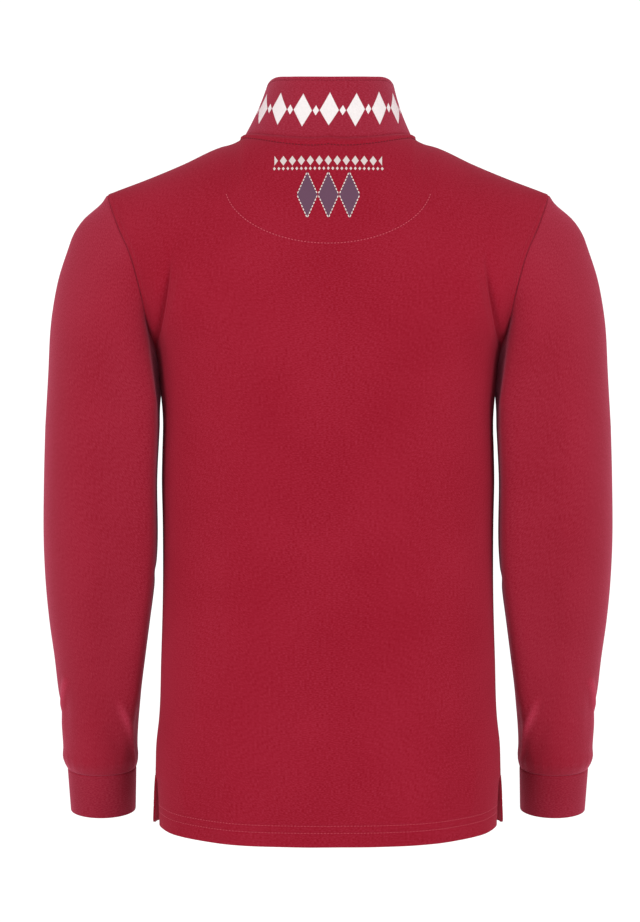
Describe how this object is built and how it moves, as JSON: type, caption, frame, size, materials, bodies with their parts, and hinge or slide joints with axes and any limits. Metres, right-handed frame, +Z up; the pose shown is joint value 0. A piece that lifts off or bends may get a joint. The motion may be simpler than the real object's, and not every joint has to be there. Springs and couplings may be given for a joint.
{
  "type": "long-sleeve polo shirt",
  "caption": "Long-sleeve jersey polo shirt in worn form with a standing collar, set-in sleeves, plain cuffs, a buttoned front placket and side vents.",
  "frame": {"origin": "midway between the side neck points, on the level where the shoulders carry the shirt", "axes": "+Z up, -Y towards the wearer's front, +X towards the wearer's left"},
  "size_m": [0.5864, 0.2531, 0.7762],
  "materials": {
    "jersey": "fine cotton jersey, soft matte with a faint pink nap",
    "sleeve_jersey": "fine cotton jersey, soft matte with a faint pink nap",
    "cuff_cloth": "matte cotton rib",
    "collar_cloth": "matte cotton, two layers",
    "placket_cloth": "matte cotton, two layers",
    "button_plastic": "dyed, low gloss"
  },
  "bodies": {
    "root": {"back": "jersey", "front": "jersey", "sleeve_left": "sleeve_jersey", "sleeve_right": "sleeve_jersey", "cuff_left": "cuff_cloth", "cuff_right": "cuff_cloth", "collar": "collar_cloth", "placket_upper": "placket_cloth", "placket_under": "placket_cloth", "button_1": "button_plastic", "button_2": "button_plastic", "button_3": "button_plastic"}
  },
  "joints": []
}
